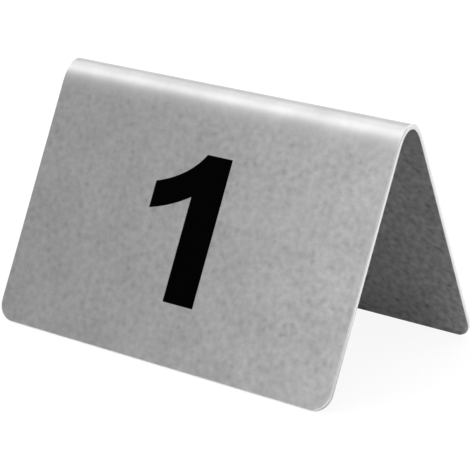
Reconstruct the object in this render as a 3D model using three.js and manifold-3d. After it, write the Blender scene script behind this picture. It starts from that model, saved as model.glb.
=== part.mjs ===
// Tent-fold table number sign: one blank of stainless sheet folded over a round bend
// and standing on its two bottom edges, with one printed numeral on each face.
// Millimetres, +Z up, X along the fold. The front face looks towards -Y.
import * as THREE from 'three';
import * as BufferGeometryUtils from 'three/addons/utils/BufferGeometryUtils.js';
import Module from 'manifold-3d';

const wasm = await Module();
wasm.setup();

// Folded sheet
const SIGN_WIDTH = 52;
const PANEL_LENGTH = 31; // flat length from the end of the bend to the bottom edge
const BEND_HALF_LENGTH = 4.9; // on the outer face, from the top to a flat panel
const SHEET_THICKNESS = 0.6;
const HALF_ANGLE = THREE.MathUtils.degToRad(25.2); // lean of each panel from upright
const CORNER_RADIUS = 2.5;
const FOOT_LAND = 0.3; // width of the flat dressed on each bottom edge
const BEND_STEPS = 28;
const CORNER_FACETS = 20;
const CUTTER_OVERRUN = 1;

// Printed numeral, measured on a face from the middle of its bottom edge
const INK_THICKNESS = 0.05;
const INK_GAP = 0.02;
const NUMERAL_BASE = 7.73;
const NUMERAL_TOP = 26.56;
const STEM_LEFT = -0.95;
const STEM_RIGHT = 3.6;
const HEAD_LEFT = -0.2;
const FLAG_LEFT = -6.84;
const FLAG_TOP = 22.03;
const FLAG_BASE = 18.63;
const FLAG_ROOT = 21.1;
const UPPER_CURVE_PULL = [-2.2, 23.45];
const LOWER_CURVE_PULL = [-3.7, 19.4];
const NUMERAL_CURVE_FACETS = 14;

const LEAN_SIN = Math.sin(HALF_ANGLE);
const LEAN_COS = Math.cos(HALF_ANGLE);

// Tilt of the outer face from level, at a share of the way down the bend. The sheet
// curves most at the top and eases to nothing where the flat panel begins.
function tiltAt(share) {
  return (Math.PI / 2 - HALF_ANGLE) * (share + Math.sin(Math.PI * share) / Math.PI);
}

// Outer face of half the bend, stepped from its top at the origin down to the panel.
function bendHalf() {
  const step = BEND_HALF_LENGTH / BEND_STEPS;
  const stations = [{ y: 0, z: 0, tilt: 0 }];
  for (let i = 1; i <= BEND_STEPS; i += 1) {
    const last = stations[i - 1];
    const middle = tiltAt((i - 0.5) / BEND_STEPS);
    stations.push({
      y: last.y + step * Math.cos(middle),
      z: last.z - step * Math.sin(middle),
      tilt: tiltAt(i / BEND_STEPS),
    });
  }
  return stations;
}

const BEND = bendHalf();
const BEND_END = BEND[BEND_STEPS];

// The land takes this much height off the sharp inner edge it replaces.
const LAND_HEIGHT = FOOT_LAND * LEAN_SIN * LEAN_COS;

// Outer bottom edge of a panel: its distance from the middle plane and its height.
const FOOT_REACH = BEND_END.y + PANEL_LENGTH * LEAN_SIN;
const FOOT_HEIGHT = SHEET_THICKNESS * LEAN_SIN - LAND_HEIGHT;

// Where the inner face meets the table plane, from the middle plane.
const INNER_REACH = FOOT_REACH - FOOT_HEIGHT * LEAN_COS / LEAN_SIN - FOOT_LAND;

// Height of the top of the bend over the table.
const TOP_HEIGHT = FOOT_HEIGHT + PANEL_LENGTH * LEAN_COS - BEND_END.z;

function steel() {
  return new THREE.MeshStandardMaterial({ color: 0xb9bbbc, metalness: 1, roughness: 0.42 });
}

function ink() {
  return new THREE.MeshStandardMaterial({ color: 0x0a0a0a, metalness: 0, roughness: 0.6 });
}

function toManifold(geometry) {
  const bare = geometry.clone();
  bare.deleteAttribute('normal');
  bare.deleteAttribute('uv');
  const merged = BufferGeometryUtils.mergeVertices(bare, 1e-4);
  const mesh = new wasm.Mesh({
    numProp: 3,
    vertProperties: Float32Array.from(merged.attributes.position.array),
    triVerts: Uint32Array.from(merged.index.array),
  });
  return new wasm.Manifold(mesh);
}

function toGeometry(solid) {
  const mesh = solid.getMesh();
  const geometry = new THREE.BufferGeometry();
  geometry.setAttribute('position', new THREE.BufferAttribute(mesh.vertProperties, 3));
  geometry.setIndex(new THREE.BufferAttribute(mesh.triVerts, 1));
  geometry.computeVertexNormals();
  return geometry;
}

// The bend at a depth under its outer face, from the front panel to the rear one.
function bendLine(depth) {
  const rear = BEND.map(({ y, z, tilt }) => new THREE.Vector2(
    y - depth * Math.sin(tilt),
    TOP_HEIGHT + z - depth * Math.cos(tilt),
  ));
  const front = rear.slice(1).reverse().map(({ x, y }) => new THREE.Vector2(-x, y));
  return [...front, ...rear];
}

// Section of the folded sheet across the fold: along the outside from the front
// foot over the bend to the rear foot, and back along the inside.
function foldedSection() {
  return new THREE.Shape([
    new THREE.Vector2(-INNER_REACH - FOOT_LAND, 0),
    new THREE.Vector2(-FOOT_REACH, FOOT_HEIGHT),
    ...bendLine(0),
    new THREE.Vector2(FOOT_REACH, FOOT_HEIGHT),
    new THREE.Vector2(INNER_REACH + FOOT_LAND, 0),
    new THREE.Vector2(INNER_REACH, 0),
    ...bendLine(SHEET_THICKNESS).reverse(),
    new THREE.Vector2(-INNER_REACH, 0),
  ]);
}

// The section drawn in the YZ plane and carried along X over the sign's width.
function foldedSheet() {
  const sheet = new THREE.ExtrudeGeometry(foldedSection(), {
    depth: SIGN_WIDTH,
    bevelEnabled: false,
  });
  sheet.translate(0, 0, -SIGN_WIDTH / 2);
  const alongFold = new THREE.Matrix4().makeBasis(
    new THREE.Vector3(0, 1, 0),
    new THREE.Vector3(0, 0, 1),
    new THREE.Vector3(1, 0, 0),
  );
  return sheet.applyMatrix4(alongFold);
}

// What a rounded bottom corner removes: a square corner less a quarter circle.
function cornerWaste() {
  const outer = SIGN_WIDTH / 2;
  const centre = outer - CORNER_RADIUS;
  const waste = new THREE.Shape();
  waste.moveTo(centre, 0);
  waste.lineTo(centre, -CUTTER_OVERRUN);
  waste.lineTo(outer + CUTTER_OVERRUN, -CUTTER_OVERRUN);
  waste.lineTo(outer + CUTTER_OVERRUN, CORNER_RADIUS);
  waste.lineTo(outer, CORNER_RADIUS);
  waste.absarc(centre, CORNER_RADIUS, CORNER_RADIUS, 0, -Math.PI / 2, true);
  return waste;
}

// Cutter for one bottom corner: side is 1 at the right end of its face and -1 at
// the left, and turn is the face's angle about Z.
function cornerCutter(side, turn) {
  const cutter = new THREE.ExtrudeGeometry(cornerWaste(), {
    depth: SHEET_THICKNESS + 2 * CUTTER_OVERRUN,
    bevelEnabled: false,
    curveSegments: CORNER_FACETS,
  });
  cutter.translate(0, 0, -SHEET_THICKNESS - CUTTER_OVERRUN);
  if (side < 0) {
    cutter.rotateY(Math.PI);
    cutter.translate(0, 0, -SHEET_THICKNESS);
  }
  cutter.rotateX(Math.PI / 2 - HALF_ANGLE);
  cutter.translate(0, -FOOT_REACH, FOOT_HEIGHT);
  cutter.rotateZ(turn);
  return toManifold(cutter);
}

function signPlate() {
  let plate = toManifold(foldedSheet());
  for (const turn of [0, Math.PI]) {
    for (const side of [1, -1]) {
      plate = plate.subtract(cornerCutter(side, turn));
    }
  }
  const mesh = new THREE.Mesh(toGeometry(plate), steel());
  mesh.name = 'sign_plate';
  return mesh;
}

function numeralOutline() {
  const outline = new THREE.Shape();
  outline.moveTo(STEM_LEFT, NUMERAL_BASE);
  outline.lineTo(STEM_RIGHT, NUMERAL_BASE);
  outline.lineTo(STEM_RIGHT, NUMERAL_TOP);
  outline.lineTo(HEAD_LEFT, NUMERAL_TOP);
  outline.quadraticCurveTo(...UPPER_CURVE_PULL, FLAG_LEFT, FLAG_TOP);
  outline.lineTo(FLAG_LEFT, FLAG_BASE);
  outline.quadraticCurveTo(...LOWER_CURVE_PULL, STEM_LEFT, FLAG_ROOT);
  outline.closePath();
  return outline;
}

function numeral(name) {
  const film = new THREE.ExtrudeGeometry(numeralOutline(), {
    depth: INK_THICKNESS,
    bevelEnabled: false,
    curveSegments: NUMERAL_CURVE_FACETS,
  });
  const mesh = new THREE.Mesh(film, ink());
  mesh.name = name;
  mesh.position.z = INK_GAP;
  return mesh;
}

// Frame of a sloping face: origin at the middle of its outer bottom edge, X to the
// reader's right, Y up the slope and Z out of the face.
function slopingFace(turn, print) {
  const face = new THREE.Group();
  face.rotation.x = Math.PI / 2 - HALF_ANGLE;
  face.position.set(0, -FOOT_REACH, FOOT_HEIGHT);
  face.add(print);
  const side = new THREE.Group();
  side.rotation.z = turn;
  side.add(face);
  return side;
}

const sign = new THREE.Group();
sign.name = 'table_number_sign';
sign.add(signPlate());
sign.add(slopingFace(0, numeral('front_numeral')));
sign.add(slopingFace(Math.PI, numeral('rear_numeral')));

export default sign;
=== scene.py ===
"""Folded steel table number sign: detailed sheet, printed numerals and studio.

The sign is one blank of satin stainless sheet folded over a smooth bend. It stands
on its two bottom edges and carries one printed numeral on each sloping face.
Everything is in metres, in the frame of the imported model: X along the fold, the
front face towards -Y, +Z up, the table at height 0.
"""

import logging
import math
from dataclasses import dataclass, field
from enum import Enum, IntEnum
from typing import Optional

import bpy
import numpy as np
from mathutils import Matrix, Vector


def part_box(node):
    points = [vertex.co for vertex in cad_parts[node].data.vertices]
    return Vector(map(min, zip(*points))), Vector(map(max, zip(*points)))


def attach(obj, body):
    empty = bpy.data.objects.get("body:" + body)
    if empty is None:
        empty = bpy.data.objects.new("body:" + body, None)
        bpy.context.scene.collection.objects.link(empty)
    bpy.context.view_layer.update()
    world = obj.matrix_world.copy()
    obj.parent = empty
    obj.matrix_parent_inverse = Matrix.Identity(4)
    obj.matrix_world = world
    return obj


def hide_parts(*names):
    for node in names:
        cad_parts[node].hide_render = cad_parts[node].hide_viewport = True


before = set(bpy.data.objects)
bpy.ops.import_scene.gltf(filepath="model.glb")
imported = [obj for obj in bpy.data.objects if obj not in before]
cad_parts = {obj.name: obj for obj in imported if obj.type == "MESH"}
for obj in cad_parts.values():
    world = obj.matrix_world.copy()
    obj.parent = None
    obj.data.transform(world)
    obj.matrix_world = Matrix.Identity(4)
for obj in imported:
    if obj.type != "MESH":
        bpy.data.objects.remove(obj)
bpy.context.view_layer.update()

LOG = logging.getLogger("table_number_sign")
MM = 0.001

# The map of the flat blank, and how many metres one unit of it stands for.
BLANK_UV = "Blank"
UV_METRES = 0.1

# Point attribute: 0 on the outer face of the sheet, 1 on its inner face.
DEPTH_ATTRIBUTE = "sheet_depth"

Array = np.ndarray
Socket = bpy.types.NodeSocket
Span = tuple[float, float]
Point = tuple[float, float]

WHOLE: Span = (0.0, 1.0)

# The middle range that fractal noise mostly keeps to.
NOISE_SPAN: Span = (0.3, 0.7)


class Face(Enum):
    """The two sloping faces of the sign. The value is 1 on the face whose reader has
    +X on the right, and -1 on the one whose reader has it on the left."""

    FRONT = 1.0
    REAR = -1.0

    @property
    def piece(self) -> str:
        """Name of the numeral printed on this face."""
        return f"{self.name.lower()}_numeral_print"

    @property
    def node(self) -> str:
        """Name of the CAD node that the numeral stands for."""
        return f"{self.name.lower()}_numeral"


class Zone(IntEnum):
    """Material slots of the folded plate."""

    OUTSIDE = 0
    INSIDE = 1
    SHEARED_EDGE = 2


# ---------------------------------------------------------------------------
# Node graphs and finishes


class NodeGraph:
    """A material's node tree with short calls for adding and joining nodes."""

    def __init__(self, name: str) -> None:
        """Start a material of that name with only its shader and its output."""
        self.material = bpy.data.materials.new(name)
        self.material.use_nodes = True
        self.tree = self.material.node_tree
        self.tree.nodes.clear()
        output = self.tree.nodes.new("ShaderNodeOutputMaterial")
        self.shader = self.tree.nodes.new("ShaderNodeBsdfPrincipled")
        self.tree.links.new(self.shader.outputs["BSDF"], output.inputs["Surface"])

    def add(
        self, kind: str, inputs: Optional[dict] = None, **settings: object
    ) -> bpy.types.Node:
        """Add a node.

        Args:
            kind: Blender's name for the node type.
            inputs: Socket name or index to a value or to an output to link from.
            **settings: Properties of the node itself.

        Returns:
            The new node.
        """
        node = self.tree.nodes.new(kind)
        for name, value in settings.items():
            setattr(node, name, value)
        for key, value in (inputs or {}).items():
            self.feed(node, key, value)
        return node

    def feed(self, node: bpy.types.Node, key: object, value: object) -> None:
        """Set one input of a node, or link it when the value is an output socket."""
        if isinstance(value, Socket):
            self.tree.links.new(value, node.inputs[key])
        else:
            node.inputs[key].default_value = value

    def dress(self, inputs: dict[str, object]) -> None:
        """Set or link the shader's own inputs."""
        for name, value in inputs.items():
            self.feed(self.shader, name, value)

    def blank_position(self, stretch: tuple[float, float] = (1.0, 1.0)) -> Socket:
        """Position on the flat blank, from the piece's own map.

        Args:
            stretch: Factors on the position along and across the fold. A factor
                below 1 draws a pattern out along that direction.

        Returns:
            The scaled position as an output socket.
        """
        chart = self.add("ShaderNodeUVMap", uv_map=BLANK_UV)
        scaled = self.add(
            "ShaderNodeVectorMath",
            {0: chart.outputs["UV"], 1: (*stretch, 1.0)},
            operation="MULTIPLY",
        )
        return scaled.outputs["Vector"]

    @staticmethod
    def scale_for(feature_mm: float) -> float:
        """Scale of a pattern on the blank map whose features have that size."""
        return UV_METRES / MM / feature_mm

    def noise(
        self, position: Socket, feature_mm: float, detail: float = 2.0, rough: float = 0.5
    ) -> Socket:
        """Fractal noise.

        Args:
            position: Where the noise is read, from blank_position.
            feature_mm: Size of its coarsest feature on the blank.
            detail: How many finer layers are laid over the coarsest.
            rough: How strong each layer is beside the one before.

        Returns:
            A value from 0 to 1, mostly within NOISE_SPAN.
        """
        node = self.add(
            "ShaderNodeTexNoise",
            {
                "Vector": position,
                "Scale": self.scale_for(feature_mm),
                "Detail": detail,
                "Roughness": rough,
            },
        )
        return node.outputs["Fac"]

    def remap(self, value: Socket, to: Span, of: Span = WHOLE) -> Socket:
        """Straight-line map of one range to another, held at its ends.

        Args:
            value: The value to map.
            to: What the two ends of the range become.
            of: The range itself.

        Returns:
            The mapped value.
        """
        node = self.add(
            "ShaderNodeMapRange",
            {
                "Value": value,
                "From Min": of[0],
                "From Max": of[1],
                "To Min": to[0],
                "To Max": to[1],
            },
        )
        return node.outputs["Result"]

    def combine(self, first: object, second: object, operation: str = "ADD") -> Socket:
        """One arithmetic step on two values or sockets."""
        node = self.add("ShaderNodeMath", {0: first, 1: second}, operation=operation)
        return node.outputs["Value"]

    def weigh(self, *parts: tuple[Socket, float]) -> Socket:
        """Weighted sum.

        Args:
            *parts: Sockets, each with its own weight.

        Returns:
            The sum of each socket times its weight.
        """
        scaled = [self.combine(socket, weight, "MULTIPLY") for socket, weight in parts]
        total = scaled[0]
        for term in scaled[1:]:
            total = self.combine(total, term)
        return total

    def blend(self, factor: Socket, first: Socket, second: float) -> Socket:
        """Number that goes from the first to the second as the factor goes from 0 to 1."""
        node = self.add("ShaderNodeMix", {0: factor, 2: first, 3: second}, data_type="FLOAT")
        return node.outputs[0]

    def grey(self, factor: Socket, start: float, end: float) -> Socket:
        """Colour that goes from one shade of grey to the other as the factor goes from
        0 to 1."""
        shades = {6: (start, start, start, 1.0), 7: (end, end, end, 1.0)}
        return self.add("ShaderNodeMix", {0: factor, **shades}, data_type="RGBA").outputs[2]

    def bump(self, height: Socket, depth_mm: float, strength: float) -> None:
        """Feed the shader's normal from a height from 0 to 1 that stands for that depth."""
        node = self.add(
            "ShaderNodeBump",
            {"Height": height, "Distance": depth_mm * MM, "Strength": strength},
        )
        self.dress({"Normal": node.outputs["Normal"]})


@dataclass(frozen=True)
class SatinSteel:
    """Stainless sheet with a fine tumbled satin finish: a soft mottle, small dark pits
    of uneven depth, faint strokes along the fold, and slow changes of tone from
    rolling and handling. Over the bend the grain is stretched, which evens out its
    pattern and scatters light a little more. A tone is a share between the dark and
    the light steel."""

    name: str
    dark: float
    light: float
    roughness: float
    roughness_spread: float
    mottle_mm: float = 0.9
    mottle_detail: float = 1.5
    mottle_span: Span = (0.28, 0.72)
    mottle_share: float = 0.46
    pit_spacing_mm: float = 1.45
    pit_reach: float = 0.5
    pit_share: float = 0.42
    stroke_mm: float = 0.45
    stroke_draw: float = 0.3
    stroke_share: float = 0.12
    cloud_mm: float = 6.0
    cloud_share: float = 0.22
    bump_mm: float = 0.004
    bump_strength: float = 0.15
    stretched_from_mm: float = 5.6
    stretched_to_mm: float = 2.6
    stretched_share: float = 0.85
    stretched_tone: float = 0.55
    stretched_roughness: float = 0.08

    def stretch(self, graph: NodeGraph) -> Socket:
        """How far the bend has stretched the grain.

        Args:
            graph: The finish's own graph.

        Returns:
            0 on the flat panels, rising smoothly to its full share towards the top
            of the bend.
        """
        place = graph.add("ShaderNodeSeparateXYZ", {"Vector": graph.blank_position()})
        away = graph.combine(place.outputs["Y"], 0.0, "ABSOLUTE")
        one_mm = MM / UV_METRES
        eased = graph.add(
            "ShaderNodeMapRange",
            {
                "Value": away,
                "From Min": self.stretched_from_mm * one_mm,
                "From Max": self.stretched_to_mm * one_mm,
                "To Min": 0.0,
                "To Max": self.stretched_share,
            },
            interpolation_type="SMOOTHSTEP",
        )
        return eased.outputs["Result"]

    def pits(self, graph: NodeGraph) -> Socket:
        """Pit pattern. Each cell of a scattered pattern holds one pit. Its depth is the
        cell's own random value, and it fades out over a share of the cell's size.

        Args:
            graph: The finish's own graph.

        Returns:
            1 on open steel, falling to 0 at the middle of the deepest pits.
        """
        cells = graph.add(
            "ShaderNodeTexVoronoi",
            {"Vector": graph.blank_position(), "Scale": graph.scale_for(self.pit_spacing_mm)},
            voronoi_dimensions="2D",
        )
        rise = graph.remap(cells.outputs["Distance"], (1.0, 0.0), (0.0, self.pit_reach))
        rounded = graph.combine(rise, rise, "MULTIPLY")
        chance = graph.add("ShaderNodeSeparateColor", {"Color": cells.outputs["Color"]})
        sunk = graph.combine(rounded, chance.outputs["Red"], "MULTIPLY")
        return graph.combine(1.0, sunk, "SUBTRACT")

    def grain(self, graph: NodeGraph) -> Socket:
        """The unstretched surface: mottle, pits and strokes, each with its share.

        Args:
            graph: The finish's own graph.

        Returns:
            Its tone and its height, from 0 to 1.
        """
        flat = graph.blank_position()
        drawn = graph.blank_position((self.stroke_draw, 1.0))
        mottle = graph.noise(flat, self.mottle_mm, self.mottle_detail)
        strokes = graph.noise(drawn, self.stroke_mm)
        return graph.weigh(
            (graph.remap(mottle, WHOLE, self.mottle_span), self.mottle_share),
            (self.pits(graph), self.pit_share),
            (graph.remap(strokes, WHOLE, NOISE_SPAN), self.stroke_share),
        )

    def material(self) -> bpy.types.Material:
        """Build the finish.

        Returns:
            The finished material, patterned on the plate's own blank map.
        """
        graph = NodeGraph(self.name)
        stretch = self.stretch(graph)
        surface = graph.blend(stretch, self.grain(graph), self.stretched_tone)
        clouds = graph.noise(graph.blank_position(), self.cloud_mm)
        tone = graph.weigh(
            (surface, 1 - self.cloud_share),
            (graph.remap(clouds, WHOLE, NOISE_SPAN), self.cloud_share),
        )
        spread = self.roughness_spread / 2
        satin = graph.remap(tone, (self.roughness + spread, self.roughness - spread))
        scatter = graph.combine(stretch, self.stretched_roughness, "MULTIPLY")
        graph.dress(
            {
                "Base Color": graph.grey(tone, self.dark, self.light),
                "Metallic": 1.0,
                "Roughness": graph.combine(satin, scatter),
            }
        )
        graph.bump(surface, self.bump_mm, self.bump_strength)
        return graph.material


@dataclass(frozen=True)
class ShearedEdge:
    """Cut edge of the sheet: a bright burnished band next to the outer face, a duller
    torn band towards the inner face, and fine drag marks over both."""

    name: str = "sheared_steel_edge"
    burnished: float = 0.87
    torn: float = 0.80
    burnished_share: float = 0.5
    band_softness: float = 0.1
    band_wander: float = 0.12
    drag_mm: float = 0.09
    drag_tone: float = 0.2
    burnished_roughness: float = 0.28
    torn_roughness: float = 0.42
    bump_mm: float = 0.006
    bump_strength: float = 0.3

    def material(self) -> bpy.types.Material:
        """Build the finish.

        Returns:
            The finished material, which reads how deep in the sheet a point lies.
        """
        graph = NodeGraph(self.name)
        depth = graph.add("ShaderNodeAttribute", attribute_name=DEPTH_ATTRIBUTE)
        drag = graph.noise(graph.blank_position(), self.drag_mm)
        wander = graph.remap(drag, (-self.band_wander, self.band_wander), NOISE_SPAN)
        band = graph.remap(
            graph.combine(depth.outputs["Fac"], wander),
            WHOLE,
            (
                self.burnished_share - self.band_softness,
                self.burnished_share + self.band_softness,
            ),
        )
        marks = graph.remap(drag, (-self.drag_tone, self.drag_tone), NOISE_SPAN)
        tone = graph.combine(band, marks)
        graph.dress(
            {
                "Base Color": graph.grey(tone, self.burnished, self.torn),
                "Metallic": 1.0,
                "Roughness": graph.remap(
                    tone, (self.burnished_roughness, self.torn_roughness)
                ),
            }
        )
        graph.bump(drag, self.bump_mm, self.bump_strength)
        return graph.material


@dataclass(frozen=True)
class PrintedInk:
    """Dense black screen ink: nearly matt, with a very fine uneven skin. Where the skin
    stands higher it is a little lighter and smoother."""

    name: str = "black_screen_ink"
    dark: float = 0.0002
    light: float = 0.0007
    skin_mm: float = 0.3
    skin_detail: float = 3.0
    skin_rough: float = 0.6
    low_roughness: float = 0.72
    high_roughness: float = 0.58
    sheen: float = 0.01
    bump_mm: float = 0.004
    bump_strength: float = 0.2

    def material(self) -> bpy.types.Material:
        """Build the finish.

        Returns:
            The finished material, patterned on the print's own map.
        """
        graph = NodeGraph(self.name)
        skin = graph.noise(
            graph.blank_position(), self.skin_mm, self.skin_detail, self.skin_rough
        )
        tone = graph.remap(skin, WHOLE, NOISE_SPAN)
        graph.dress(
            {
                "Base Color": graph.grey(tone, self.dark, self.light),
                "Roughness": graph.remap(tone, (self.low_roughness, self.high_roughness)),
                "Specular IOR Level": self.sheen,
            }
        )
        graph.bump(skin, self.bump_mm, self.bump_strength)
        return graph.material


@dataclass(frozen=True)
class StudioWhite:
    """Plain matt white of the studio, with an even glow where it is lit from behind."""

    name: str
    shade: float
    glow: float = 0.0

    def material(self) -> bpy.types.Material:
        """Build the plain white.

        Returns:
            The finished material.
        """
        graph = NodeGraph(self.name)
        graph.dress(
            {
                "Base Color": (self.shade, self.shade, self.shade, 1.0),
                "Roughness": 1.0,
                "Specular IOR Level": 0.0,
                "Emission Color": (1.0, 1.0, 1.0, 1.0),
                "Emission Strength": self.glow,
            }
        )
        return graph.material


# ---------------------------------------------------------------------------
# Surfaces


@dataclass
class Surface:
    """A mesh while it is being worked out: its points, its quads, each point's place on
    the blank map, each quad's material slot and each point's depth in the sheet."""

    points: Array
    quads: Array
    chart: Array
    zones: Array
    depth: Array

    def to_object(self, name: str, materials: list[bpy.types.Material]) -> bpy.types.Object:
        """Make the Blender object.

        Args:
            name: Name of the object and of its mesh.
            materials: One material per zone number.

        Returns:
            The smooth-shaded object, already in the scene.
        """
        mesh = bpy.data.meshes.new(name)
        mesh.from_pydata(self.points.tolist(), [], self.quads.tolist())
        for material in materials:
            mesh.materials.append(material)
        mesh.polygons.foreach_set("material_index", self.zones.astype(np.int32))
        mesh.polygons.foreach_set("use_smooth", np.ones(len(self.quads), bool))
        corners = np.empty(len(mesh.loops), np.int32)
        mesh.loops.foreach_get("vertex_index", corners)
        chart = (self.chart[corners] / UV_METRES).astype(np.float32)
        mesh.uv_layers.new(name=BLANK_UV).data.foreach_set("uv", chart.ravel())
        attribute = mesh.attributes.new(DEPTH_ATTRIBUTE, "FLOAT", "POINT")
        attribute.data.foreach_set("value", self.depth.astype(np.float32))
        mesh.validate()
        mesh.update()
        piece = bpy.data.objects.new(name, mesh)
        bpy.context.scene.collection.objects.link(piece)
        return piece


def grid_quads(order: Array) -> Array:
    """Quads of a grid of points.

    Args:
        order: Table of the points' indices, rows by columns.

    Returns:
        Four indices for each cell: a point, the next along its row, and the two
        beside them in the next row.
    """
    corners = [order[:-1, :-1], order[:-1, 1:], order[1:, 1:], order[1:, :-1]]
    return np.stack(corners, -1).reshape(-1, 4)


def band_quads(rings: Array) -> Array:
    """Quads of a band, whose rings are each joined to the next and closed on itself.

    Args:
        rings: Table of the points' indices, one closed ring in each row.

    Returns:
        Four indices for each cell. The quads face outwards where the rings run
        anticlockwise and go down, and inwards where they go up.
    """
    ahead = np.roll(rings, -1, 1)
    corners = [rings[1:], ahead[1:], ahead[:-1], rings[:-1]]
    return np.stack(corners, -1).reshape(-1, 4)


# ---------------------------------------------------------------------------
# The folded plate


@dataclass(frozen=True)
class Wave:
    """One long wave over the blank: its radians per metre along and across the fold,
    the phase that it starts with, and its height beside the others."""

    along: float
    across: float
    phase: float
    height: float

    def over(self, x: Array, q: Array) -> Array:
        """Height times the sine of (along x + across q + phase)."""
        return self.height * np.sin(self.along * x + self.across * q + self.phase)


@dataclass
class FoldedPlate:
    """The steel sheet. A point of the flat blank is (x, q, n): x along the fold, q
    across it from the middle of the bend, and n out of the outer face, so the sheet
    fills n from minus its thickness to 0."""

    panel_length: float = 31.0 * MM
    bend_half_length: float = 4.9 * MM
    thickness: float = 0.6 * MM
    lean: float = math.radians(25.2)
    corner_radius: float = 2.5 * MM
    foot_land: float = 0.3 * MM
    outer_edge_radius: float = 0.11 * MM
    inner_edge_radius: float = 0.05 * MM
    edge_support: float = 0.04 * MM
    ripple: float = 0.008 * MM
    ripple_fade: float = 3.0 * MM
    ripple_waves: tuple[Wave, ...] = (
        Wave(410.0, 130.0, 0.7, 1.0),
        Wave(-170.0, 530.0, 2.1, 0.8),
        Wave(250.0, -340.0, 4.0, 0.6),
    )
    bend_rows: int = 49
    panel_rows: int = 34
    corner_rows: int = 13
    columns: int = 61
    edge_steps: int = 5
    wall_steps: int = 5
    bend_samples: int = 600
    width: float = field(init=False)

    def __post_init__(self) -> None:
        """Take the width from the CAD node's box."""
        low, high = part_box("sign_plate")
        self.width = high[0] - low[0]

    @property
    def half_blank(self) -> float:
        """Length on the outer face from the top of the bend to a bottom edge."""
        return self.panel_length + self.bend_half_length

    @property
    def top_height(self) -> float:
        """Height of the top of the bend over the table.

        Returns:
            The height of the outer bottom edge, which the foot land lowers a little,
            plus the rise of the panel and of the bend.
        """
        sine, cosine = math.sin(self.lean), math.cos(self.lean)
        foot_height = (self.thickness - self.foot_land * cosine) * sine
        _, drop = self.bend_curve(np.array(self.bend_half_length))
        return foot_height + self.panel_length * cosine + float(drop)

    def tilt(self, q: Array) -> Array:
        """Tilt of the outer face from level.

        With s the share of the way down the bend, from -1 to 1, the tilt is the
        panel's slope times s + sin(pi s) / pi: the sheet curves most at the top and
        eases to nothing where the flat panels begin.

        Args:
            q: Positions across the fold.

        Returns:
            The angles in radians, signed as q.
        """
        share = np.clip(q / self.bend_half_length, -1.0, 1.0)
        return (math.pi / 2 - self.lean) * (share + np.sin(math.pi * share) / math.pi)

    def bend_curve(self, q: Array) -> tuple[Array, Array]:
        """Outer face of the bend: the running sums of the cosine and the sine of the
        tilt over q, taken at the middle of many short steps.

        Args:
            q: Positions across the fold, at most half the bend's length either way.

        Returns:
            Distance from the middle plane, signed as q, and depth below the top.
        """
        stations = np.linspace(0.0, self.bend_half_length, self.bend_samples + 1)
        middle = self.tilt((stations[1:] + stations[:-1]) / 2)
        step = stations[1]
        away = np.concatenate([[0.0], np.cumsum(np.cos(middle)) * step])
        drop = np.concatenate([[0.0], np.cumsum(np.sin(middle)) * step])
        reach = np.abs(q)
        return np.sign(q) * np.interp(reach, stations, away), np.interp(reach, stations, drop)

    def fold(self, blank: Array) -> Array:
        """Fold points of the blank into place.

        A point lies on the bend's curve, or past its end straight down the panel,
        and then n out along the face's own normal. Nothing goes below the table,
        which leaves the flat lands on the bottom edges.

        Args:
            blank: Points (x, q, n) in the last axis.

        Returns:
            Points (x, y, z) of the same shape.
        """
        x, q, n = blank[..., 0], blank[..., 1], blank[..., 2]
        on_bend = np.clip(q, -self.bend_half_length, self.bend_half_length)
        past = q - on_bend
        away, drop = self.bend_curve(on_bend)
        tilt = self.tilt(q)
        y = away + past * np.cos(tilt) + n * np.sin(tilt)
        z = self.top_height - drop - past * np.sin(tilt) + n * np.cos(tilt)
        return np.stack([x, y, np.maximum(z, 0.0)], -1)

    def rows_across(self, inset: float) -> tuple[Array, Array, Array]:
        """Rows of the face grid, from the front bottom edge to the rear one.

        In the corner zone a row sits at the height of the corner arc at its own
        angle, so the ends of the rows trace the arc. Between the corners the ends
        run straight down the sides. The rear half mirrors the front half.

        Args:
            inset: How far the face stops short of the sheared edge.

        Returns:
            Position of each row across the fold, half its length along the fold,
            and the angle of the edge's outward direction at its ends, from 0 along
            the fold to a quarter turn across it.
        """
        radius = self.corner_radius - inset
        corner_turn = np.linspace(math.pi / 2, 0.0, self.corner_rows)
        corner_q = self.corner_radius - self.half_blank - radius * np.sin(corner_turn)
        corner_x = self.width / 2 - self.corner_radius + radius * np.cos(corner_turn)
        panel_q = np.linspace(
            self.corner_radius - self.half_blank, -self.bend_half_length, self.panel_rows
        )[1:]
        bend_q = np.linspace(-self.bend_half_length, 0.0, self.bend_rows // 2 + 1)[1:]
        straight = len(panel_q) + len(bend_q)
        across = np.concatenate([corner_q, panel_q, bend_q])
        reach = np.append(corner_x, np.full(straight, self.width / 2 - inset))
        turn = np.append(corner_turn, np.zeros(straight))
        return (
            np.append(across, -across[-2::-1]),
            np.append(reach, reach[-2::-1]),
            np.append(turn, turn[-2::-1]),
        )

    def face_blank(self, inset: float, depth: float) -> Array:
        """Grid of blank points over one face: rows across the fold, columns along it.
        The last two columns at each side lie close together, which keeps the shading
        flat up to the rim.

        Args:
            inset: How far the face stops short of the sheared edge.
            depth: How deep the face lies under the outer face.

        Returns:
            An array (rows, columns, 3).
        """
        across, reach, _ = self.rows_across(inset)
        reach = reach[:, None]
        inner = (reach - self.edge_support) * np.linspace(-1.0, 1.0, self.columns)
        x = np.concatenate([-reach, inner, reach], 1)
        q = np.broadcast_to(across[:, None], x.shape)
        return np.stack([x, q, self.ripple * self.relief(x, q) - depth], -1)

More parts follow.
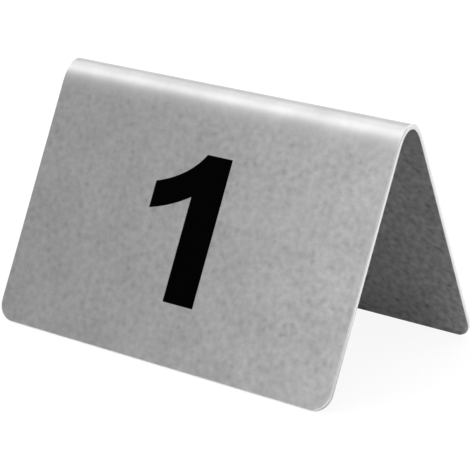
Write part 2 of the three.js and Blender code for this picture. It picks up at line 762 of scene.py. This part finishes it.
    def relief(self, x: Array, q: Array) -> Array:
        """Slow unevenness left by rolling and pressing: the mean of a few long waves,
        which fades to nothing at the sheared edges.

        Args:
            x: Positions along the fold.
            q: Positions across it.

        Returns:
            Heights from about -1 to 1.
        """
        total = sum(wave.over(x, q) for wave in self.ripple_waves)
        heights = sum(wave.height for wave in self.ripple_waves)
        from_side = np.clip((self.width / 2 - np.abs(x)) / self.ripple_fade, 0.0, 1.0)
        from_foot = np.clip((self.half_blank - np.abs(q)) / self.ripple_fade, 0.0, 1.0)
        return total / heights * from_side * from_foot

    def edge_profile(self) -> tuple[Array, Array]:
        """Section of the sheared edge from the outer face round to the inner face.

        A quarter circle leads off the outer face, a straight wall follows, and a
        smaller quarter circle leads onto the inner face.

        Returns:
            Distance outwards from the outer face's last point, and depth under the
            outer face, at each step between the two faces.
        """
        outer, inner = self.outer_edge_radius, self.inner_edge_radius
        roll = np.linspace(0.0, math.pi / 2, self.edge_steps + 1)[1:]
        turn_in = np.linspace(math.pi / 2, 0.0, self.edge_steps + 1)[:-1]
        wall = np.linspace(outer, self.thickness - inner, self.wall_steps + 1)[1:-1]
        outwards = [
            outer * np.sin(roll),
            np.full(len(wall), outer),
            outer - inner + inner * np.sin(turn_in),
        ]
        depth = [
            outer - outer * np.cos(roll),
            wall,
            self.thickness - inner + inner * np.cos(turn_in),
        ]
        return np.concatenate(outwards), np.concatenate(depth)

    def edge_normals(self, rows: int, columns: int) -> Array:
        """Outward direction in the blank at the border of a face's grid: along the fold
        on the sides, radial round the corners and across the fold on the bottom edges.

        Args:
            rows: Rows of the grid.
            columns: Columns of the grid.

        Returns:
            An array (rows, columns, 2), which is 0 inside the border.
        """
        across, _, turn = self.rows_across(0.0)
        normals = np.zeros((rows, columns, 2))
        lengthwise, crosswise = np.cos(turn), np.sign(across) * np.sin(turn)
        normals[:, 0] = np.stack([-lengthwise, crosswise], -1)
        normals[:, -1] = np.stack([lengthwise, crosswise], -1)
        normals[0] = (0.0, -1.0)
        normals[-1] = (0.0, 1.0)
        return normals

    def surface(self) -> Surface:
        """Work out the whole closed surface: two faces and the edge band between.

        Returns:
            The folded sheet. On its map the edge band lies unrolled outside the faces.
        """
        outside = self.face_blank(self.outer_edge_radius, 0.0)
        inside = self.face_blank(self.inner_edge_radius, self.thickness)
        order = np.arange(outside[..., 0].size).reshape(outside.shape[:2])
        rim = np.concatenate(
            [order[0, :-1], order[:-1, -1], order[-1, :0:-1], order[:0:-1, 0]]
        )
        outside, inside = outside.reshape(-1, 3), inside.reshape(-1, 3)
        normals = self.edge_normals(*order.shape).reshape(-1, 2)[rim]
        outwards, depth = self.edge_profile()
        band = np.empty((len(outwards), len(rim), 3))
        band[..., :2] = outside[rim, :2] + outwards[:, None, None] * normals
        band[..., 2] = -depth[:, None]
        blank = np.concatenate([outside, inside, band.reshape(-1, 3)])
        chart = blank[:, :2].copy()
        chart[2 * order.size :] += (depth[:, None, None] * normals).reshape(-1, 2)
        between = 2 * order.size + np.arange(band[..., 0].size).reshape(len(band), -1)
        zones = {
            Zone.OUTSIDE: grid_quads(order),
            Zone.INSIDE: grid_quads(order + order.size)[:, ::-1],
            Zone.SHEARED_EDGE: band_quads(np.vstack([rim, between, rim + order.size])),
        }
        return Surface(
            points=self.fold(blank),
            quads=np.concatenate(list(zones.values())),
            chart=chart,
            zones=np.repeat(list(zones), [len(quads) for quads in zones.values()]),
            depth=np.clip(-blank[:, 2] / self.thickness, 0.0, 1.0),
        )

    def build(self) -> bpy.types.Object:
        """Build, dress and place the plate.

        Returns:
            The finished piece, which stands for the CAD plate.
        """
        outside = SatinSteel(
            "satin_steel_outside",
            dark=0.355,
            light=0.745,
            roughness=0.32,
            roughness_spread=0.05,
        )
        # The inner face is a darker copy of the same steel: its lower dark end is partly
        # painted shade for the hollow under the fold and partly a stronger contrast in its
        # grain.
        inside = SatinSteel(
            "satin_steel_inside_shaded",
            dark=0.15,
            light=0.76,
            roughness=0.34,
            roughness_spread=0.08,
            stroke_draw=0.8,
            cloud_share=0.1,
        )
        piece = self.surface().to_object(
            "folded_plate", [outside.material(), inside.material(), ShearedEdge().material()]
        )
        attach(piece, "root")
        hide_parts("sign_plate")
        return piece


# ---------------------------------------------------------------------------
# The printed numerals


@dataclass
class PrintedNumeral:
    """The printed figure one: a thin film of ink with rounded shoulders. Its outline
    is measured on a face, u to the reader's right from the middle and v up the slope
    from the bottom edge."""

    plate: FoldedPlate
    base: float = 7.73 * MM
    top: float = 26.56 * MM
    stem_left: float = -0.95 * MM
    stem_right: float = 3.6 * MM
    head_left: float = -0.2 * MM
    flag_left: float = -6.84 * MM
    flag_top: float = 22.03 * MM
    flag_base: float = 18.63 * MM
    flag_root: float = 21.1 * MM
    upper_pull: Point = (-2.2 * MM, 23.45 * MM)
    lower_pull: Point = (-3.7 * MM, 19.4 * MM)
    film: float = 0.045 * MM
    shoulder: float = 0.03 * MM
    sunk: float = 0.01 * MM
    shoulder_steps: int = 4
    rows: int = 13
    flag_columns: int = 25
    head_columns: int = 7
    stem_columns: int = 13
    stem_rows: int = 25

    @staticmethod
    def pulled_curve(start: Point, pull: Point, end: Point, u: Array) -> Array:
        """Height of a curve pulled towards one point, over a position along it.

        The curve is the parabola whose weights at share s are (1-s) squared, 2s(1-s)
        and s squared; s is found from u by solving the quadratic in u.

        Args:
            start: Where the curve starts, (u, v).
            pull: The point that it is pulled towards.
            end: Where it ends.
            u: Positions to read the height at.

        Returns:
            The heights v.
        """
        a = start[0] - 2 * pull[0] + end[0]
        b = 2 * (pull[0] - start[0])
        c = start[0] - u
        root = np.sqrt(np.maximum(b * b - 4 * a * c, 0.0))
        share = np.clip(-2 * c / (b + root), 0.0, 1.0)
        rest = 1 - share
        return rest**2 * start[1] + 2 * share * rest * pull[1] + share**2 * end[1]

    def upper_edge(self, u: Array) -> Array:
        """Upper outline over u: the flag's hollow curve, then the flat head."""
        start, end = (self.flag_left, self.flag_top), (self.head_left, self.top)
        return np.where(
            u < self.head_left, self.pulled_curve(start, self.upper_pull, end, u), self.top
        )

    def lower_edge(self, u: Array) -> Array:
        """Lower outline of the flag over u, up to where it meets the stem."""
        start, end = (self.flag_left, self.flag_base), (self.stem_left, self.flag_root)
        return self.pulled_curve(start, self.lower_pull, end, u)

    @staticmethod
    def block(u: Array, low: Array, high: Array, rows: int) -> Array:
        """Grid of points with rows spaced evenly between two edges.

        Args:
            u: Position of each column.
            low: Height of the lower edge at each column.
            high: Height of the upper edge at each column.
            rows: Number of rows.

        Returns:
            The points (u, v), rows by columns.
        """
        share = np.linspace(0.0, 1.0, rows)[:, None]
        v = low * (1 - share) + high * share
        return np.stack([np.broadcast_to(u, v.shape), v], -1)

    def sheet(self) -> tuple[Array, Array, Array]:
        """The figure's flat area as one welded set of quads.

        Three blocks share their borders: the flag, the head beside it and the stem
        under the head.

        Returns:
            The points (u, v), the quads, and the border as an ordered ring of
            indices that runs anticlockwise.
        """
        flag_u = np.linspace(self.flag_left, self.stem_left, self.flag_columns)
        slope_u = np.linspace(self.stem_left, self.head_left, self.head_columns)
        flat_u = np.linspace(self.head_left, self.stem_right, self.stem_columns)
        head_u = np.append(slope_u, flat_u[1:])
        root = np.full(len(head_u), self.flag_root)
        base = np.full(len(head_u), self.base)
        flag = self.block(flag_u, self.lower_edge(flag_u), self.upper_edge(flag_u), self.rows)
        head = self.block(head_u, root, self.upper_edge(head_u), self.rows)
        stem = self.block(head_u, base, root, self.stem_rows)[:-1]
        arm = np.concatenate([flag, head[:, 1:]], 1)
        points = np.concatenate([arm.reshape(-1, 2), stem.reshape(-1, 2)])
        upper = np.arange(arm[..., 0].size).reshape(arm.shape[:2])
        lower = upper.size + np.arange(stem[..., 0].size).reshape(stem.shape[:2])
        lower = np.concatenate([lower, upper[:1, self.flag_columns - 1 :]])
        quads = np.concatenate([grid_quads(upper), grid_quads(lower)])
        ring = np.concatenate(
            [
                lower[0, :-1],
                lower[:-1, -1],
                upper[:-1, -1],
                upper[-1, :0:-1],
                upper[:0:-1, 0],
                upper[0, : self.flag_columns - 1],
                lower[:0:-1, 0],
            ]
        )
        return points, quads, ring

    @staticmethod
    def outward(ring: Array) -> Array:
        """Mitre direction at each point of a ring: the sum of the two neighbouring edge
        normals, stretched so that both edges move out by one.

        Args:
            ring: The points of an anticlockwise ring.

        Returns:
            The directions, one for each point.
        """
        ahead = np.roll(ring, -1, 0) - ring
        ahead /= np.linalg.norm(ahead, axis=1, keepdims=True)
        normal = np.stack([ahead[:, 1], -ahead[:, 0]], -1)
        total = normal + np.roll(normal, 1, 0)
        return 2 * total / np.sum(total**2, axis=1, keepdims=True)

    def surface(self, face: Face) -> Surface:
        """Work out the closed film for one face.

        A quarter circle leads off the film's top, and a straight wall goes down from
        it to the underside, which is set out by the shoulder's radius.

        Args:
            face: The face that carries the print.

        Returns:
            The film: its top, its rounded shoulder and its underside.
        """
        top, quads, ring = self.sheet()
        turn = np.linspace(0.0, math.pi / 2, self.shoulder_steps + 1)[1:]
        out = self.shoulder * np.sin(turn)
        height = self.film - self.shoulder * (1 - np.cos(turn))
        band = top[ring] + out[:, None, None] * self.outward(top[ring])
        under = top.copy()
        under[ring] = band[-1]
        flat = np.concatenate([top, under, band.reshape(-1, 2)])
        lift = np.concatenate(
            [
                np.full(len(top), self.film),
                np.full(len(under), -self.sunk),
                np.repeat(height, len(ring)),
            ]
        )
        between = 2 * len(top) + np.arange(band[..., 0].size).reshape(len(band), -1)
        wall = band_quads(np.vstack([ring, between, ring + len(top)]))
        quads = np.concatenate([quads, quads[:, ::-1] + len(top), wall])
        x = face.value * flat[:, 0]
        q = face.value * (flat[:, 1] - self.plate.half_blank)
        return Surface(
            points=self.plate.fold(np.stack([x, q, lift], -1)),
            quads=quads,
            chart=flat,
            zones=np.zeros(len(quads)),
            depth=np.zeros(len(flat)),
        )

    def build(self, face: Face) -> bpy.types.Object:
        """Build, dress and place the print on one face.

        Args:
            face: The face that carries the print.

        Returns:
            The finished piece, which stands for that face's CAD numeral.
        """
        piece = self.surface(face).to_object(face.piece, [PrintedInk().material()])
        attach(piece, "root")
        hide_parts(face.node)
        return piece


# ---------------------------------------------------------------------------
# Studio


def direction(azimuth: float, elevation: float) -> Vector:
    """Unit vector from the sign towards a bearing.

    Args:
        azimuth: Degrees round +Z from the front, positive towards +X.
        elevation: Degrees above the table.

    Returns:
        The vector (sin a cos e, -cos a cos e, sin e).
    """
    a, e = math.radians(azimuth), math.radians(elevation)
    return Vector((math.sin(a) * math.cos(e), -math.cos(a) * math.cos(e), math.sin(e)))


@dataclass(frozen=True)
class Softbox:
    """A flat square light that faces the middle of the sign. The power is in watts."""

    name: str
    azimuth: float
    elevation: float
    power: float
    distance: float = 0.7
    size: float = 0.5
    aim: tuple[float, float, float] = (0.0, 0.0, 0.015)

    def build(self) -> bpy.types.Object:
        """Hang the light at its bearing and turn it to its aim, out of the camera's sight.

        Returns:
            The light.
        """
        lamp = bpy.data.lights.new(self.name, "AREA")
        lamp.shape = "SQUARE"
        lamp.size = self.size
        lamp.energy = self.power
        light = bpy.data.objects.new(self.name, lamp)
        bearing = direction(self.azimuth, self.elevation)
        light.location = Vector(self.aim) + bearing * self.distance
        light.rotation_euler = bearing.to_track_quat("Z", "Y").to_euler()
        light.visible_camera = False
        bpy.context.scene.collection.objects.link(light)
        return light


@dataclass
class Studio:
    """White table, backlit white sweep, even surroundings and softboxes.

    The table is what the steel reflects and what light bounces off. The sweep lies a
    hair above it and is what the camera sees: it is lit from behind, so the shadow
    under the sign stays faint, and it rises all round behind the table.
    """

    table_size: float = 6.0
    table_drop: float = 0.05 * MM
    table_white: StudioWhite = StudioWhite("table_white", shade=0.93)
    sweep_radius: float = 1.6
    sweep_bend: float = 0.8
    sweep_height: float = 2.4
    sweep_bend_rows: int = 24
    sweep_columns: int = 96
    sweep_white: StudioWhite = StudioWhite("sweep_white", shade=0.14, glow=0.90)
    surroundings: float = 0.32
    softboxes: tuple[Softbox, ...] = (
        Softbox("front_overhead", 0.0, 60.0, 0.60),
        Softbox("left_overhead", -45.0, 60.0, 0.72),
        Softbox("right_overhead", 45.0, 60.0, 0.43),
        Softbox("front_fill", -10.0, 25.0, 0.61),
        Softbox("left_key", -75.0, 50.0, 0.44),
        Softbox("left_low", -100.0, 25.0, 1.41),
        Softbox("rear_overhead", -150.0, 65.0, 1.05),
        Softbox("rear_low", 150.0, 30.0, 0.70),
        Softbox("rear_left_low", -145.0, 16.0, 0.50),
        Softbox("rear_fill", 180.0, 45.0, 0.60),
    )

    @staticmethod
    def stage_piece(
        name: str, points: Array, faces: list[list[int]], white: StudioWhite
    ) -> bpy.types.Object:
        """Make one piece of the stage.

        Args:
            name: Name of the object.
            points: Its vertices.
            faces: Its faces, as vertex indices.
            white: Its finish.

        Returns:
            The object.
        """
        mesh = bpy.data.meshes.new(name)
        mesh.from_pydata(points.tolist(), [], faces)
        mesh.materials.append(white.material())
        piece = bpy.data.objects.new(name, mesh)
        bpy.context.scene.collection.objects.link(piece)
        return piece

    def table(self) -> bpy.types.Object:
        """Flat square table that only light meets.

        Returns:
            The table.
        """
        corners = np.array([(-1.0, -1.0), (1.0, -1.0), (1.0, 1.0), (-1.0, 1.0)])
        drop = np.full((len(corners), 1), -self.table_drop)
        points = np.hstack([corners * self.table_size / 2, drop])
        table = self.stage_piece("white_table", points, [[0, 1, 2, 3]], self.table_white)
        table.visible_camera = False
        return table

    def sweep(self) -> bpy.types.Object:
        """Round sweep that only the camera sees.

        A profile of (distance out, height) is carried round +Z: the rim of a flat
        disc, a quarter circle up from it, and a straight wall.

        Returns:
            The sweep.
        """
        turn = np.linspace(0.0, math.pi / 2, self.sweep_bend_rows)
        out = self.sweep_radius + self.sweep_bend * np.append(np.sin(turn), 1.0)
        height = np.append(self.sweep_bend * (1 - np.cos(turn)), self.sweep_height)
        around = np.linspace(0.0, 2 * math.pi, self.sweep_columns, endpoint=False)
        x = out[:, None] * np.cos(around)
        y = out[:, None] * np.sin(around)
        z = np.broadcast_to(height[:, None], x.shape)
        order = np.arange(x.size).reshape(x.shape)
        faces = [order[0].tolist(), *band_quads(order).tolist()]
        points = np.stack([x, y, z], -1).reshape(-1, 3)
        sweep = self.stage_piece("sweep", points, faces, self.sweep_white)
        sweep.visible_diffuse = False
        sweep.visible_glossy = False
        sweep.visible_transmission = False
        sweep.visible_shadow = False
        return sweep

    def build(self) -> None:
        """Build the stage, the surroundings and the lights."""
        self.table()
        self.sweep()
        world = bpy.data.worlds.new("studio_surroundings")
        world.use_nodes = True
        background = world.node_tree.nodes["Background"]
        background.inputs["Color"].default_value = (1.0, 1.0, 1.0, 1.0)
        background.inputs["Strength"].default_value = self.surroundings
        bpy.context.scene.world = world
        for softbox in self.softboxes:
            softbox.build()
        bpy.context.scene.view_settings.view_transform = "Standard"


@dataclass(frozen=True)
class ProductCamera:
    """The camera: its bearing from the sign in degrees, its roll, its distance, its lens
    and sensor in millimetres, and where on the sign it aims."""

    azimuth: float = 37.213
    elevation: float = 18.406
    roll: float = 0.438
    distance: float = 0.27474
    lens: float = 167.36
    sensor_width: float = 36.0
    nearest: float = 0.01
    aim_height: float = 0.018604
    aim_right: float = 0.000086
    aim_up: float = -0.005781

    def build(self) -> bpy.types.Object:
        """Place the camera and make it the scene's own.

        Returns:
            The camera object.
        """
        back = direction(self.azimuth, self.elevation)
        level = Vector((0, 0, 1)).cross(back).normalized()
        upright = back.cross(level)
        turn = math.radians(self.roll)
        right = math.cos(turn) * level + math.sin(turn) * upright
        up = math.cos(turn) * upright - math.sin(turn) * level
        aim = Vector((0, 0, self.aim_height)) + right * self.aim_right + up * self.aim_up
        data = bpy.data.cameras.new("product_camera")
        data.sensor_width = self.sensor_width
        data.lens = self.lens
        data.clip_start = self.nearest
        camera = bpy.data.objects.new("product_camera", data)
        turned = Matrix((right, up, back)).transposed().to_4x4()
        camera.matrix_world = Matrix.Translation(aim + back * self.distance) @ turned
        bpy.context.scene.collection.objects.link(camera)
        bpy.context.scene.camera = camera
        return camera


def main() -> None:
    """Build the sign and its studio in order, and report each piece."""
    logging.basicConfig(level=logging.INFO, format="%(name)s: %(message)s")
    ProductCamera().build()
    Studio().build()
    plate = FoldedPlate()
    numeral = PrintedNumeral(plate)
    pieces = [plate.build(), numeral.build(Face.FRONT), numeral.build(Face.REAR)]
    for piece in pieces:
        LOG.info("%s: %d faces", piece.name, len(piece.data.polygons))


if __name__ == "__main__":
    main()
